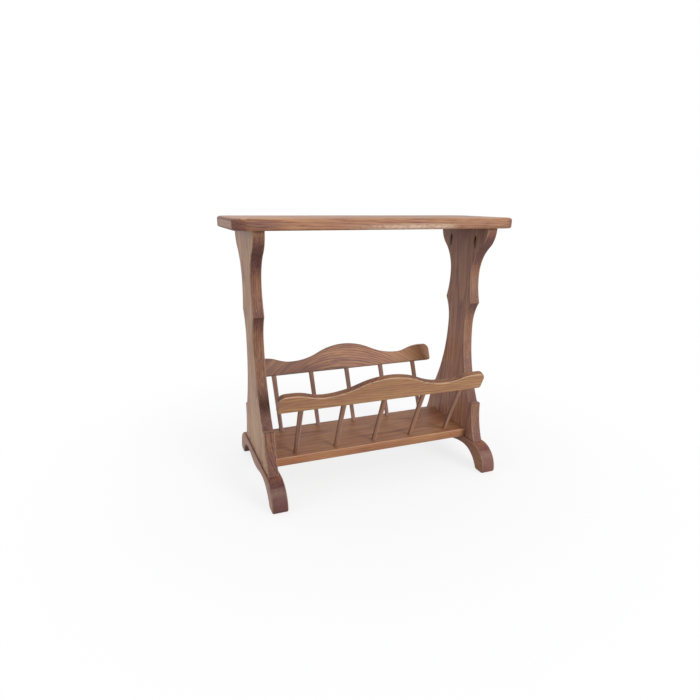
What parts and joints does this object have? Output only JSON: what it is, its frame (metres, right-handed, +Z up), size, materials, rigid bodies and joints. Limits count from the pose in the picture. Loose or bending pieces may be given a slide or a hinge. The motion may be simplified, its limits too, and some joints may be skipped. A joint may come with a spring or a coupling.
{
  "type": "magazine table with rack",
  "caption": "Oak side table on scroll-sawn trestle uprights, with a shelf and outward-leaning spindle rails that form a magazine rack under the rectangular top.",
  "frame": {"origin": "on the floor, under the middle of the top", "axes": "+X along the table's length, +Y from front to back, +Z up"},
  "size_m": [0.5884, 0.337, 0.56],
  "materials": {
    "oak": "satin varnish over brown stain",
    "spindle_oak": "satin varnish over brown stain",
    "plug_oak": "satin varnish over brown stain",
    "screw_steel": "zinc plated"
  },
  "bodies": {
    "root": {"table_top": "oak", "left_upright": "oak", "right_upright": "oak", "left_foot": "oak", "right_foot": "oak", "shelf": "oak", "front_rail": "oak", "back_rail": "oak", "front_spindle_1": "spindle_oak", "front_spindle_2": "spindle_oak", "front_spindle_3": "spindle_oak", "front_spindle_4": "spindle_oak", "front_spindle_5": "spindle_oak", "back_spindle_1": "spindle_oak", "back_spindle_2": "spindle_oak", "back_spindle_3": "spindle_oak", "back_spindle_4": "spindle_oak", "back_spindle_5": "spindle_oak", "shelf_screw_plugs": "plug_oak", "top_screws": "screw_steel", "shelf_screws": "screw_steel", "foot_screws": "screw_steel"}
  },
  "joints": []
}
